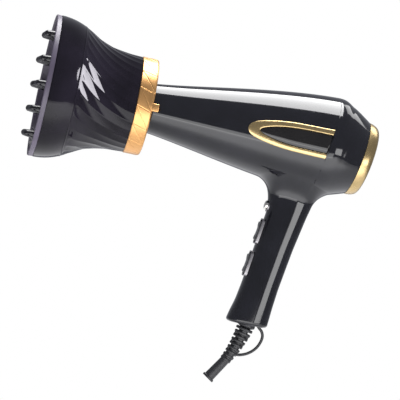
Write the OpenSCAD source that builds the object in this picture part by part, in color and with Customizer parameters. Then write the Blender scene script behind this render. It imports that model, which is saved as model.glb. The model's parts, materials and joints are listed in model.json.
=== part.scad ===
// Salon hair dryer with a fluted diffuser pushed on its nozzle. Millimetres.
// The origin is the centre of the air outlet. +X runs back along the barrel, +Z is up,
// and the handle hangs below the back half of the barrel.

/* [Barrel] */
// Radius of the nozzle at the air outlet
outlet_r = 22.5; // [22.3:0.1:22.7]
// Radius of the barrel where it ends at the rear seam
barrel_r = 48; // [47.5:0.5:48.5]
// Distance from the outlet to the middle of the rear seam
seam_x = 188.5; // [187.5:0.5:189.5]
// Tilt of the rear seam and of everything behind it, degrees
tail_tilt = 8; // [7:0.5:9]
// Wall thickness of the shells
wall = 2.2; // [2:0.1:2.4]

/* [Handle] */
// Half the width of the handle, side to side
grip_half_w = 16; // [15.5:0.5:16.5]
// Squareness of the handle's section, 2 is an ellipse
grip_square = 2.5; // [2.3:0.1:2.8]

/* [Switches] */
// Height of the cool-shot button, below the barrel's axis
button_drop = 67.5; // [66:0.5:68]
// Radius of the cool-shot button
button_r = 4.5; // [4:0.1:4.6]
// Height of the upper rocker switch, below the barrel's axis
upper_rocker_drop = 93.5; // [93:0.5:95]
// Height of the lower rocker switch, below the barrel's axis
lower_rocker_drop = 126; // [125:0.5:127]

/* [Diffuser] */
// Largest radius of the diffuser
rim_r = 68.4; // [68:0.2:69]
// Distance of the diffuser's front rim in front of the outlet
rim_reach = 87; // [86:0.5:88]
// Pitch of the prongs on their triangular grid
prong_pitch = 27.5; // [27:0.1:27.6]
// How far the prongs stand in front of the rim
prong_proud = 9; // [8:0.5:10]
// Radius of a prong at its foot
prong_foot_r = 5.2; // [5:0.1:5.5]
// Radius of the gold collar behind the cup
collar_r = 46.7; // [46.5:0.1:47]

/* [Cord guard] */
// Radius of the hole that the mains cord runs through
cord_hole_r = 3.8; // [3.5:0.1:4]
// Radius of the guard at its tail
guard_tail_r = 5.1; // [5:0.1:5.4]

/* [Hidden] */
$fn = 72;

gap = 0.3;          // between parts that don't touch
run = 0.06;         // radial clearance of a running fit
big = 400;          // reach of a cutting block

// Side outline of the handle, X and Z, down the front and up the back
grip_front = [[147, -34], [147, -56], [148.6, -62], [149.4, -72], [140.2, -145], [137.4, -162],
    [133.9, -175], [132.7, -180.5], [135, -183.5]];
grip_back = [[169.4, -183.5], [172.4, -180.5], [173.3, -175], [174.2, -162], [175.9, -145],
    [178.8, -125], [181.8, -105], [185.6, -85], [188.1, -72], [191, -60], [193, -34]];
grip_axis = [169.6, -62];   // a point on the handle's centre line
grip_tilt = 8.06;           // lean of that line from vertical
grip_half_d = 22;           // half the depth of the handle's section
grip_bottom = -183.5;
grip_lean = 7.2;    // lean of the handle's front face
front_ref = [149.4, -72];

// The cord guard runs down an arc: its centre, its radius, and its lean at both ends
bend_centre = [33.4, -163.1];
bend_r = 121.5;
bend_from = 9.6;
bend_to = 33.6;
guard_x = 153.2;    // where it leaves the handle
rib_count = 9;
rib_thick = 2.7;
tail_len = 14;

// Centre line of the hanging loop: X, Z
loop_line = [[163.4, -180], [164, -182.4], [165.8, -184.8], [169, -187.6], [170.9, -192.5],
    [169.9, -199], [166.2, -205.8], [160.2, -211], [153.6, -213.8], [148.7, -214.4]];
loop_wire_r = 1.4;

pin_r = 1.1;        // trunnion of a rocker
pivot_depth = 3.5;  // trunnion below the handle's face
rocker_swing_r = 10.8;
plate_x = -67;      // diffuser plate at its centre
plate_rim_x = -72;  // and at its edge
bowl_r = 61.5;
sleeve_r = 28.4;

trim_mid = 1.5;     // height of the side trim's centre line
// Outer half outline of the side trim: X, half height
trim_outer = [[109.5, 0], [110.6, 3.2], [113, 5.6], [118, 7.9], [128, 10.4], [142, 12.6],
    [160, 13.8], [204, 14.6]];
trim_inner = [[121, 0], [122, 1.6], [126, 3.6], [136, 6.4], [150, 8.4], [168, 9.2],
    [204, 9.4]];

screw_spots = [[178, -62], [158.5, -110], [163.5, -172.4]];
motor_r = 18.8;
duct_r = 39.8;

// ---------------------------------------------------------------- helpers

function bezier(a, b, c, d, t) =
    pow(1 - t, 3) * a + 3 * pow(1 - t, 2) * t * b + 3 * (1 - t) * t * t * c + pow(t, 3) * d;
function curve(a, b, c, d, n) = [for (i = [0:n]) bezier(a, b, c, d, i / n)];
function unit(v) = v / norm(v);
function tangent(p, i) = unit(p[min(i + 1, len(p) - 1)] - p[max(i - 1, 0)]);
function reversed(list) = [for (i = [len(list) - 1:-1:0]) list[i]];
function power(v, n) = sign(v) * pow(abs(v), n);
function in_x(p) = [p[0], 0, p[1]];

// Barrel outline from the outlet back past the seam, as [x, radius]
function barrel_line(inset, n) = concat(
    [for (p = curve([0, outlet_r], [35, outlet_r], [125, barrel_r - 2.5], [195, barrel_r], n))
        [p[0], p[1] - inset]],
    [[206, barrel_r - inset]]);

// Turns an outline of [x, radius] points round the X axis, its seam away from the middle plane
module spin(line) {
    rotate([0, 90, 0]) rotate(130) rotate_extrude($fn = 96)
        polygon([for (p = line) [p[1], p[0]]]);
}

module tube(r_out, r_in, x0, x1) {
    spin([[x0, r_in], [x1, r_in], [x1, r_out], [x0, r_out]]);
}

module rod(r, x0, x1) {
    translate([x0, 0, 0]) rotate([0, 90, 0]) cylinder(r = r, h = x1 - x0);
}

module block(low, high) {
    translate(low) cube(high - low);
}

// Skin over a list of rings with equal numbers of points
module skin(rings) {
    n = len(rings[0]);
    m = len(rings);
    sides = [for (i = [0:m - 2], k = [0:n - 1], h = [0, 1])
        let (k2 = (k + 1) % n, a = i * n + k, b = i * n + k2, c = a + n, d = b + n)
        h == 0 ? [a, b, d] : [a, d, c]];
    polyhedron(points = [for (r = rings) each r],
        faces = concat(sides, [reversed([for (k = [0:n - 1]) k])],
            [[for (k = [0:n - 1]) (m - 1) * n + k]]));
}

// Round tube along points; radii has one value per point, ref is never along the path
module sweep(points, radii, ref, sides) {
    skin([for (i = [0:len(points) - 1])
        let (t = tangent(points, i), a = unit(cross(ref, t)), b = cross(t, a))
        [for (k = [0:sides - 1])
            let (u = 360 * (k + 0.5) / sides) points[i] + radii[i] * (cos(u) * a + sin(u) * b)]]);
}

function same(value, points) = [for (p = points) value];

module in_tail() {
    translate([seam_x, 0, 0]) rotate([0, tail_tilt, 0]) children();
}

// Frame on the handle's front face at a height: -X points out of the face
module at_front(drop) {
    x = front_ref[0] - (-drop - front_ref[1]) * -tan(grip_lean);
    translate([x, 0, -drop]) rotate([0, grip_lean, 0]) children();
}

module mirrored(side) {
    if (side > 0) mirror([0, 1, 0]) children();
    else children();
}

// ---------------------------------------------------------------- shells

// Section of the handle, shrunk by an inset
module grip_section(inset) {
    n = 2 / grip_square;
    polygon([for (k = [0:27]) let (t = 360 * (k + 0.5) / 28)
        [(grip_half_d - inset) * power(cos(t), n), (grip_half_w - inset) * power(sin(t), n)]]);
}

module grip_solid(inset) {
    outline = concat(grip_front, grip_back);
    intersection() {
        translate([grip_axis[0], 0, grip_axis[1]]) rotate([0, grip_tilt, 0])
            translate([0, 0, -150]) linear_extrude(200) grip_section(inset);
        translate([0, big / 2, 0]) rotate([90, 0, 0]) linear_extrude(big)
            polygon([for (i = [0:len(outline) - 1]) inset_point(outline, i, inset)]);
    }
}

// A corner of a closed outline moved inwards by a distance
function inset_point(line, i, d) =
    let (n = len(line), p = line[i], e = unit(p - line[(i + n - 1) % n]),
        f = unit(line[(i + 1) % n] - p), m = unit(e + f))
    p + d / (m * e) * [-m[1], m[0]];

module behind_seam(x) {
    in_tail() translate([x, -big / 2, -big / 2]) cube(big);
}

module tail_solid(extra) {
    in_tail() spin(concat([[-1, 0]], [[-1, barrel_r + extra]],
        [for (p = tail_line(0)) [p[0], p[1] + extra]], [[35.6, 0]]));
}

function tail_line(inset) = [for (p = curve([0, barrel_r - 0.1], [14, barrel_r - 0.3],
    [24, barrel_r - 6], [35.6, barrel_r - 11.6], 8)) [p[0], p[1] - inset]];

module body_outer() {
    difference() {
        spin(concat([[0, 0]], barrel_line(0, 12), [[206, 0]]));
        behind_seam(0);
    }
    difference() {
        grip_solid(0);
        tail_solid(0.15);
    }
}

module body_inner() {
    spin(concat([[-1, 0], [-1, outlet_r - wall]], barrel_line(wall, 12), [[206, 0]]));
    grip_solid(wall);
}

module boss_posts() {
    for (p = screw_spots) translate([p[0], 14.6, p[1]]) rotate([90, 0, 0])
        cylinder(r = 4.2, h = 29.2, $fn = 32);
}

module screw_holes() {
    for (p = screw_spots) {
        translate([p[0], 20, p[1]]) rotate([90, 0, 0]) cylinder(r = 2.8, h = 11, $fn = 32);
        translate([p[0], 10, p[1]]) rotate([90, 0, 0]) cylinder(r = 1.35, h = 22, $fn = 24);
    }
}

module front_openings() {
    at_front(button_drop) rod(6.6, -6, 8);
    for (drop = [upper_rocker_drop, lower_rocker_drop])
        at_front(drop) block([-6, -7.6, -12.4], [6, 7.6, 12.4]);
    translate([guard_x, 0, grip_bottom - 1]) cylinder(r = 9.1, h = 6);
    translate([loop_line[1][0] + 0.3, 0, grip_bottom - 1]) cylinder(r = 2.2, h = 6, $fn = 32);
}

module body_shell(side) {
    color("#121217") difference() {
        union() {
            difference() {
                body_outer();
                body_inner();
            }
            boss_posts();
        }
        front_openings();
        screw_holes();
        trim_cut(side);
        block([-big, side > 0 ? -big : 0, -big], [big, side > 0 ? 0 : big, big]);
    }
}

module body_shell_right() { body_shell(-1); }
module body_shell_left() { body_shell(1); }

module rear_shell() {
    color("#121217") in_tail() spin(concat([[0, barrel_r - 2.4]], tail_line(0),
        [[35.6, 33.8], [33.4, 33.8]], reversed([for (p = tail_line(2.4)) if (p[0] < 32) p])));
}

// Flat outline between two half outlines, upright in XZ
module trim_outline(line, spread) {
    nose = [line[0][0] - spread, trim_mid];
    sides = [for (p = line) if (p[1] > 0) p];
    upper = [for (p = sides) [p[0], trim_mid + p[1] + spread]];
    lower = [for (p = sides) [p[0], trim_mid - p[1] - spread]];
    rotate([90, 0, 0]) linear_extrude(60) polygon(concat([nose], upper, reversed(lower)));
}

// Part of the barrel's skin between two depths
module barrel_skin(out, depth) {
    spin(concat(barrel_line(-out, 12), reversed(barrel_line(depth, 12))));
}

module trim_cut(side) {
    mirrored(side) intersection() {
        barrel_skin(2, 1.3);
        trim_outline(trim_outer, 0.1);
    }
}

module trim(side) {
    color("#a68a4e") mirrored(side) difference() {
        intersection() {
            barrel_skin(0.5, 1.2);
            trim_outline(trim_outer, 0);
        }
        trim_outline(trim_inner, 0);
        behind_seam(-0.3);
    }
}

module trim_right() { trim(-1); }
module trim_left() { trim(1); }

module side_insert(side) {
    color("#0b0b0e") mirrored(side) difference() {
        intersection() {
            barrel_skin(-0.3, 1.2);
            trim_outline(trim_inner, -0.1);
        }
        behind_seam(-0.4);
    }
}

module side_insert_right() { side_insert(-1); }
module side_insert_left() { side_insert(1); }

module shell_screws() {
    color("silver") for (p = screw_spots) {
        translate([p[0], 9, p[1]]) rotate([90, 0, 0]) cylinder(r = 1.25, h = 19, $fn = 24);
        translate([p[0], 11, p[1]]) rotate([90, 0, 0]) cylinder(r = 2.6, h = 2, $fn = 32);
    }
}

module outlet_grille() {
    color("#1c1c20") {
        tube(outlet_r - wall - 0.1, outlet_r - wall - 1.4, 1, 6);
        tube(14, 12.8, 1, 4);
        tube(7.6, 6.4, 1, 4);
        for (a = [0:60:300]) rotate([a, 0, 0]) block([1.5, -0.6, 7], [3.5, 0.6, outlet_r - wall - 1]);
    }
}

// ---------------------------------------------------------------- heater

module mica_tube() { color("#c9b98f") tube(20.5, 19.9, 22, 90); }

module mica_boards() {
    color("#c9b98f") {
        block([24, -15.9, -0.3], [88, 15.9, 0.3]);
        block([24, -0.3, -15.9], [88, 0.3, 15.9]);
    }
}

module heating_coils() {
    color("#9a9a9a") for (x = [30:7:79]) translate([x, 0, 0]) rotate([0, 90, 0])
        rotate_extrude() translate([17, 0]) circle(r = 0.7, $fn = 16);
}

module thermostat() {
    color("silver") translate([0, 7, 7]) {
        rod(5, 70, 72.4);
        rod(3, 72.4, 75);
    }
}

module thermal_fuse() { color("#d8d0c0") translate([0, -6, 6]) rod(1.8, 50, 62); }

module ion_module() { color("#204030") block([66, -7, 21.5], [92, 7, 28]); }

module ion_needle() {
    route = [[66, 0, 24.6], [56, 0, 24], [44, 0, 22.9], [34, 0, 21.9], [24, 0, 21.4]];
    color("silver") sweep(route, same(0.4, route), [0, 1, 0], 8);
}

// ---------------------------------------------------------------- motor and fan

module fan_duct() {
    color("#26262b") {
        tube(duct_r, duct_r - 1.4, 152, 178);
        difference() {
            rod(motor_r + 2.2, 131, 156);
            rod(motor_r + 0.1, 130, 153.5);
            rod(5, 152, 158);
        }
        for (a = [0:60:300]) rotate([a, 0, 0])
            block([152, -0.8, motor_r + 2], [156, 0.8, duct_r - 1]);
    }
}

module fan_impeller() {
    color("#303036") {
        tube(9, 2, 159, 175);
        intersection() {
            tube(duct_r - 2, 8.5, 159, 175);
            for (a = [0:360 / 7:359]) rotate([a, 0, 0]) translate([167, 0, 0])
                rotate([0, 0, 38]) block([-12, -0.7, 6], [12, 0.7, duct_r]);
        }
    }
}

module motor_shaft() { color("silver") rod(2, 93, 177); }

module armature() {
    color("#7d4a2a") {
        tube(11.1, 2, 114, 136);
        tube(9.5, 2, 109, 114);
        tube(9.5, 2, 136, 141);
    }
}

module commutator() { color("#b87333") tube(6.5, 2, 102, 108.5); }

module stator_core() {
    color("#5c5f66") difference() {
        tube(motor_r, 11.5, 114, 136);
        for (s = [-1, 1]) block([113, s * 14 - 2, -8], [137, s * 14 + 2, 8]);
    }
}

module field_windings() {
    color("#a8562b") {
        for (s = [-1, 1]) block([110, s * 14 - 1.7, -7.6], [140, s * 14 + 1.7, 7.6]);
        tube(15.6, 12.4, 109, 113.6);
        tube(15.6, 12.4, 136.4, 141);
    }
}

module carbon_brushes() {
    color("#202020") for (s = [0, 180]) rotate([s, 0, 0]) block([103, -1.6, 6.9], [107, 1.6, 13]);
}

module brush_holders() {
    color("goldenrod") for (s = [0, 180]) rotate([s, 0, 0]) difference() {
        block([102.2, -2.4, 8], [107.8, 2.4, 16.4]);
        block([102.9, -1.7, 7], [107.1, 1.7, 15.6]);
    }
}

module front_bearing() { color("#b08d57") tube(5, 2 + run, 94.5, 99.5); }
module rear_bearing() { color("#b08d57") tube(4.95, 2 + run, 152.5, 157); }

module motor_bracket() {
    color("#8a8d92") difference() {
        union() {
            block([95, -6, -18.4], [98.5, 6, 18.4]);
            for (s = [0, 180]) rotate([s, 0, 0]) block([95, -6, 16.8], [113.9, 6, 18.4]);
        }
        rod(5, 90, 100);
    }
}

// ---------------------------------------------------------------- handle parts

module cool_button() {
    color("#c9b27a") at_front(button_drop) {
        rod(button_r, -3.4, 3);
        rod(button_r - 0.8, -4.3, 3);
        rod(5.6, 2.4, 3.6);
        rod(1.2, 3, 6.8);
    }
}

module button_bezel() {
    color("#8f8f93") at_front(button_drop) tube(6.4, button_r + run, -1.2, 2.2);
}

module button_spring() {
    turns = 4;
    route = [for (i = [0:turns * 12])
        [4 + 4.8 * i / (turns * 12), 3 * cos(i * 30), 3 * sin(i * 30)]];
    color("silver") at_front(button_drop) sweep(route, same(0.35, route), [1, 0, 0], 6);
}

module button_switch() {
    color("#202024") at_front(button_drop) block([9.4, -5, -5], [18, 5, 5]);
}

module rocker(drop) {
    color("#1a1a1e") at_front(drop) translate([pivot_depth, 0, 0]) {
        intersection() {
            block([-6.6, -5.5, -11], [2.4, 5.5, 11]);
            rotate([90, 0, 0]) cylinder(r = rocker_swing_r, h = 20, center = true);
        }
        rotate([90, 0, 0]) cylinder(r = pin_r, h = 14.2, center = true, $fn = 32);
    }
}

module rocker_bezel(drop) {
    color("#8f8f93") at_front(drop) {
        difference() {
            block([-1.8, -7.5, -12.3], [2, 7.5, 12.3]);
            block([-3, -5.8, -11.1], [3, 5.8, 11.1]);
        }
        for (s = [-1, 1]) difference() {
            block([1.8, s * 6.65 - 0.75, -4], [6.6, s * 6.65 + 0.75, 4]);
            translate([pivot_depth, 0, 0]) rotate([90, 0, 0])
                cylinder(r = pin_r + run, h = 20, center = true, $fn = 32);
        }
    }
}

module rocker_switch(drop) {
    color("#202024") at_front(drop) block([8.6, -6, -8.5], [20, 6, 8.5]);
}

module upper_rocker() { rocker(upper_rocker_drop); }
module upper_bezel() { rocker_bezel(upper_rocker_drop); }
module upper_switch() { rocker_switch(upper_rocker_drop); }
module lower_rocker() { rocker(lower_rocker_drop); }
module lower_bezel() { rocker_bezel(lower_rocker_drop); }
module lower_switch() { rocker_switch(lower_rocker_drop); }

module terminal_block() {
    color("#e8e4d8") difference() {
        block([149, -8, -158], [165, 8, -148]);
        for (y = [-4, 4]) translate([157, y, -150]) cylinder(r = 1.6, h = 5, $fn = 24);
    }
}

// Leads inside the handle and up to the motor and the heater
module wiring() {
    routes = [
        [[161, -4, -147.5], [165, -5, -140], [166.5, -6, -131], [165.5, -6, -126.5],
            [163.7, -6, -125.2]],
        [[163, 5, -147.5], [170, 7, -138], [173, 8, -122], [172, 8.5, -105], [170, 7, -97],
            [168.6, 4, -93.5]],
        [[159, 5, -147.5], [166, 10, -128], [168.5, 11.5, -100], [171, 11, -70],
            [166, 9, -54], [159.5, 7.5, -47.5], [156.8, 6.8, -44.2], [155.6, 6.2, -42],
            [153, 6, -40.7], [150, 5.8, -39.8], [146, 5.4, -38.6], [138, 5, -36],
            [128, 4, -31], [118, 4, -24.5], [112, 3, -19.8]]];
    color("#7a1f1f") for (r = routes) sweep(r, same(0.9, r), [0.3, 1, 0.2], 8);
}

module cord_clamp() {
    color("#303034") difference() {
        block([145.5, -9, -167], [158.6, 9, -162]);
        translate([153.4, 0, -170]) cylinder(r = cord_hole_r, h = 10, $fn = 32);
        for (y = [-6.6, 6.6]) translate([153.4, y, -170]) cylinder(r = 1.15, h = 10, $fn = 24);
    }
}

module clamp_screws() {
    color("silver") for (y = [-6.6, 6.6]) translate([153.4, y, 0]) {
        translate([0, 0, -167.5]) cylinder(r = 1.05, h = 5.5, $fn = 24);
        translate([0, 0, -162]) cylinder(r = 2, h = 1.4, $fn = 24);
    }
}

// Place on the guard's arc at a lean, local Z pointing back up the cord
module on_bend(lean) {
    translate([bend_centre[0], 0, bend_centre[1]]) rotate([0, lean, 0])
        translate([bend_r, 0, 0]) children();
}

module bend_tube(r) {
    translate([bend_centre[0], 0, bend_centre[1]]) rotate([0, bend_from, 0]) rotate([-90, 0, 0])
        rotate_extrude(angle = bend_to - bend_from) translate([bend_r, 0]) circle(r = r);
}

module cord_guard() {
    core_r = guard_tail_r - 0.4;
    color("#131316") difference() {
        union() {
            bend_tube(core_r);
            translate([guard_x, 0, grip_bottom + wall]) cylinder(r = 11.4, h = 3);
            translate([guard_x, 0, grip_bottom - 2.4]) cylinder(r = 8.9, h = 6);
            for (i = [0:rib_count - 1]) on_bend(bend_from + 2.6 + 2 * i)
                cylinder(r = 8.4 - 0.36 * i, h = rib_thick, center = true);
            on_bend(bend_to) translate([0, 0, -tail_len]) cylinder(r = guard_tail_r, h = tail_len + 3);
            on_bend(bend_to) translate([0, 0, -tail_len]) cylinder(r = guard_tail_r + 1.1, h = 2.2);
        }
        bend_tube(cord_hole_r - 0.3);
        translate([guard_x, 0, grip_bottom - 1]) cylinder(r = cord_hole_r, h = 8);
        on_bend(bend_to) translate([0, 0, -tail_len - 1]) cylinder(r = cord_hole_r, h = tail_len + 2);
    }
}

module hanging_loop() {
    line = [for (p = loop_line) in_x(p)];
    color("#131316") sweep(line, same(loop_wire_r, line), [0, 1, 0], 12);
}

// ---------------------------------------------------------------- filter cover

module cover_ring() {
    edge = curve([35.8, 36.2], [40.5, 36], [45.6, 34.6], [46.4, 31], 8);
    color("#a68a4e") in_tail() spin(concat([[28, 33.4 - gap + 0.1], [35.8, 33.4 - gap + 0.1]],
        edge, [[45.6, 29.6], [42, 29.6], [40, 31], [28, 31]]));
}

module cover_grille() {
    color("#17171a") in_tail() {
        tube(29.5, 27.6, 42, 45.4);
        tube(6, 0.01, 42.6, 45.4);
        for (r = [10, 14, 18, 22, 26]) tube(r + 0.7, r - 0.7, 43.4, 45);
        for (a = [0:30:330]) rotate([a, 0, 0]) block([42.6, -0.6, 5], [44.6, 0.6, 28]);
    }
}

module filter_mesh() { color("#55565a") in_tail() tube(30.9, 0.01, 39.4, 40); }

// ---------------------------------------------------------------- diffuser

module grip_sleeve() {
    color("#3a3a40") {
        tube(sleeve_r, 26.2, -5, 15.4);
        for (x = [1, 7, 13]) tube(27, radius_at(x + 1.2) + gap, x, x + 1.2);
    }
}

// Barrel radius at a distance from the outlet, read off its own curve
function radius_at(x) = lookup(x, barrel_line(0, 40));

function cup_line(inset) = let (
    neck = curve([1, 46.2], [-16, 47], [-30, 47.6], [-44, 55.6], 8),
    belly = curve([-44, 55.6], [-53, 60.6], [-62, 67.4], [-80, rim_r], 8))
    [for (p = concat(neck, [for (i = [1:8]) belly[i]], [[-84, rim_r - 0.2]]))
        [p[0], p[1] - inset]];

module diffuser_cup() {
    outside = cup_line(0);
    inside = [for (p = cup_line(2)) if (p[0] < -1) p];
    color("#111114")
        spin(concat([[16, 41.6], [16, 43.6], [1, 43.6]], outside, reversed(inside), [[-1, 41.6]]));
}

// Ring in the cup's neck that fits over the sleeve
module diffuser_socket() {
    color("#17171a") spin([[16, sleeve_r + run], [16, 41.6 - run], [13.6, 41.6 - run],
        [13.6, 30.4], [-5, 30.4], [-5, sleeve_r + run]]);
}

module diffuser_collar() {
    color("#c79a5b") {
        spin([[1.1, 43.7], [16, 43.7], [16.8, 44.6], [16.8, 45.6], [15.6, 46.5],
            [13.6, collar_r], [2, collar_r], [1.1, 46]]);
        intersection() {
            tube(46.4, 44.2, 16, 22.6);
            block([15, -60, -3.2], [24, 0, 4.4]);
        }
    }
}

// One rhombic cell of the lattice, centred, long way along X
module cell(long, short) {
    polygon([[long / 2, 0], [0, short / 2], [-long / 2, 0], [0, -short / 2]]);
}

// Lattice of cells between the rosette and the bowl's wall, in six sectors
module lattice_2d() {
    long = 16;
    short = 8.4;
    for (s = [0:60:300]) rotate(s) for (i = [3:7], j = [-7:7]) {
        spot = [i * long / 2, j * short / 2];
        r = norm(spot);
        from_edge = r * sin(30 - abs(atan2(spot[1], spot[0])));
        inside = from_edge > 3.6 && r > 28 && r < bowl_r - 5.5;
        if ((i + j) % 2 == 0 && inside) translate(spot) cell(11.4, 6);
    }
}

// Leaning petal between two radii
module petal(r0, r1, width, lean) {
    steps = 6;
    side = function(sgn) [for (k = [0:steps]) let (t = k / steps, r = r0 + (r1 - r0) * t,
        a = lean * t) [r * cos(a) - sgn * width * sin(180 * pow(t, 1.4)) * sin(a),
        r * sin(a) + sgn * width * sin(180 * pow(t, 1.4)) * cos(a)]];
    polygon(concat(side(1), [for (k = [steps - 1:-1:1]) side(-1)[k]]));
}

module rosette_2d() {
    circle(r = 3);
    for (a = [0:45:315]) rotate(a) petal(5, 12.6, 1.9, 12);
    for (a = [0:45:315]) rotate(a + 22.5) petal(10.8, 19, 1.6, 14);
    for (a = [0:45:315]) rotate(a) petal(14.6, 21.8, 1.7, 12);
}

module along_x() {
    translate([-90, 0, 0]) rotate([0, 90, 0]) linear_extrude(40) rotate(90) children();
}

module diffuser_bowl() {
    rim_x = -rim_reach;
    color("#3a343f") difference() {
        spin([[plate_x, 0], [plate_x, 6], [plate_rim_x, bowl_r], [rim_x + 2, 63.4],
            [rim_x, 64.4], [rim_x, 66.8], [rim_x + 0.8, 67.9], [-84.1, 68],
            [-84.1, 65.4], [plate_rim_x + 2, 63.8], [plate_x + 2, 6.4], [plate_x + 2, 0]]);
        along_x() lattice_2d();
        along_x() rosette_2d();
        for (a = [30:60:330]) rotate([a, 0, 0])
            block([plate_rim_x - 5, -5.5, 60], [plate_rim_x - 2.4, 5.5, 70]);
    }
}

function prong_spots() = concat(
    [for (a = [0:60:300]) prong_pitch * [cos(a), sin(a)]],
    [for (a = [0:60:300]) 2 * prong_pitch * [cos(a), sin(a)]],
    [for (a = [30:60:330]) sqrt(3) * prong_pitch * [cos(a), sin(a)]]);

// The plate's front face at a radius
function plate_at(r) = plate_x + (plate_rim_x - plate_x) * max(0, r - 6) / (bowl_r - 6);

module diffuser_prongs() {
    tip_x = -rim_reach - prong_proud;
    tip_r = 3.2;
    color("#0e0e11") for (p = prong_spots()) translate([0, p[0], p[1]]) {
        foot = plate_at(norm(p) + prong_foot_r) - 0.2;
        spin(concat([[foot, 0], [foot, prong_foot_r]],
            [for (a = [10:16:90]) [tip_x + tip_r * (1 - sin(a)), tip_r * cos(a)]]));
    }
}

body_shell_right();
body_shell_left();
rear_shell();
outlet_grille();
trim_right();
trim_left();
side_insert_right();
side_insert_left();
shell_screws();
mica_tube();
mica_boards();
heating_coils();
thermostat();
thermal_fuse();
ion_module();
ion_needle();
fan_duct();
fan_impeller();
motor_shaft();
armature();
commutator();
stator_core();
field_windings();
carbon_brushes();
brush_holders();
front_bearing();
rear_bearing();
motor_bracket();
cool_button();
button_bezel();
button_spring();
button_switch();
upper_rocker();
upper_bezel();
upper_switch();
lower_rocker();
lower_bezel();
lower_switch();
terminal_block();
wiring();
cord_clamp();
clamp_screws();
cord_guard();
hanging_loop();
cover_ring();
cover_grille();
filter_mesh();
grip_sleeve();
diffuser_cup();
diffuser_socket();
diffuser_collar();
diffuser_bowl();
diffuser_prongs();
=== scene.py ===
import itertools
import json
import math
from functools import partial

import bmesh
import bpy
import numpy as np
from mathutils import Matrix, Vector
from mathutils.geometry import delaunay_2d_cdt


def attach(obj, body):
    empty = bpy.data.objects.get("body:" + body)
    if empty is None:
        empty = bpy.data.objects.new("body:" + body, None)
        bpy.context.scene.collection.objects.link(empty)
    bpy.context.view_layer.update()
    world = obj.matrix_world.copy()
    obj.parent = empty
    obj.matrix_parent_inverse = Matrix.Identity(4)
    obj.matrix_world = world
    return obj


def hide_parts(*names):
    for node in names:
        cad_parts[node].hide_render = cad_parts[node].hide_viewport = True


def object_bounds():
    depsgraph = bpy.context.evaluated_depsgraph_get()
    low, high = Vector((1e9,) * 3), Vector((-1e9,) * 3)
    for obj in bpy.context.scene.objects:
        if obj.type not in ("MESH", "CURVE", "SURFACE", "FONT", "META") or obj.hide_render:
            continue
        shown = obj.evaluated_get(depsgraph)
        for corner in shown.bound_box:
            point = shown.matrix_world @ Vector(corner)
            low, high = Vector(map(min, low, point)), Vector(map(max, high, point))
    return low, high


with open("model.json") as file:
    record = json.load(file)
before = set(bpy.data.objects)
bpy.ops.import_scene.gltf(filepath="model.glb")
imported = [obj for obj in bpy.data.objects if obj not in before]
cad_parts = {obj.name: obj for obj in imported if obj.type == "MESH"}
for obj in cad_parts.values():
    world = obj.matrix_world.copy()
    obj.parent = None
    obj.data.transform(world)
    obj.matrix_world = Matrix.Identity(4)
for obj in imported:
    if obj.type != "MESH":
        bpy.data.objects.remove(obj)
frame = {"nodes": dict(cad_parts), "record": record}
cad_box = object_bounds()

# Looks of a salon hair dryer with a fluted diffuser. Shapes are worked out in millimetres in the
# frame's axes: the air outlet is the origin, +X runs back along the barrel and +Z is up.
MM = 0.001
SIDEWAYS = (0.0, 1.0, 0.0)
nodes = frame["nodes"]
body_of = {node: body for body, members in frame["record"]["behaviour"]["bodies"].items()
           for node in members}
slot_of = {part["node"]: part["material_slot"] for part in frame["record"]["subparts"]}

# Barrel, tail and seam
OUTLET_R = 22.5
BARREL_R = 48.0
SEAM_X = 188.5
TAIL_TILT = math.radians(8)
TAIL_BLEND = 16.0        # length behind the seam over which the tail leaves the barrel's line
SKIN = 2.2               # wall thickness of the shells
SEAM_GAP = 0.28          # half the width of a parting line

# Handle: height against X, down its front and up its back
GRIP_FRONT = [(-34, 147), (-56, 147), (-62, 148.4), (-72, 149.4), (-145, 140.2), (-162, 137.4),
              (-175, 133.9), (-184, 132)]
GRIP_BACK = [(-34, 193), (-60, 191), (-72, 188.1), (-85, 185.6), (-105, 181.8), (-125, 178.8),
             (-145, 175.9), (-162, 174.2), (-175, 173.3), (-184, 172.6)]
GRIP_HALF_W = 16.0
GRIP_SQUARE = 2.5
GRIP_BOTTOM = -183.5
GRIP_LEAN = math.radians(7.2)
FRONT_REF = (149.4, -72.0)
BUTTON_DROP = 67.5
ROCKER_DROPS = {"upper": 93.5, "lower": 126.0}
SCREW_SPOTS = [(178, -62), (158.5, -110), (163.5, -172.4)]

# Side trim: X against half height, outer and inner edge
TRIM_Z = 1.5
TRIM_OUTER = [(109.5, 0), (110.6, 3.2), (113, 5.6), (118, 7.9), (128, 10.4), (142, 12.6),
              (160, 13.8), (204, 14.6)]
TRIM_INNER = [(121, 0), (122, 1.6), (126, 3.6), (136, 6.4), (150, 8.4), (168, 9.2), (204, 9.4)]

# Cord guard and hanging loop
BEND_CENTRE = (33.4, -163.1)
BEND_R = 121.5
BEND_FROM = math.radians(9.6)
BEND_TO = math.radians(33.6)
GUARD_X = 153.2
RIB_COUNT = 9
TAIL_LEN = 14.0
LOOP_LINE = [(163.4, -180), (164, -182.4), (165.8, -184.8), (169, -187.6), (170.9, -192.5),
             (169.9, -199), (166.2, -205.8), (160.2, -211), (153.6, -213.8), (148.7, -214.4)]

# Diffuser
RIM_R = 68.4
COLLAR_R = 46.7
PLATE_X = -67.0
PLATE_RIM_X = -72.0
BOWL_R = 61.5
PRONG_PITCH = 27.5
PRONG_TIP_X = -96.0
PRONG_FOOT_R = 5.2
PRONG_TIP_R = 3.2
SLEEVE_R = 28.4
FLUTES = 32


# ---------------- outlines

def bezier(a, b, c, d, count):
    t = np.linspace(0, 1, count)[:, None]
    a, b, c, d = (np.array(p, float) for p in (a, b, c, d))
    return (1 - t) ** 3 * a + 3 * (1 - t) ** 2 * t * b + 3 * (1 - t) * t ** 2 * c + t ** 3 * d


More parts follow.
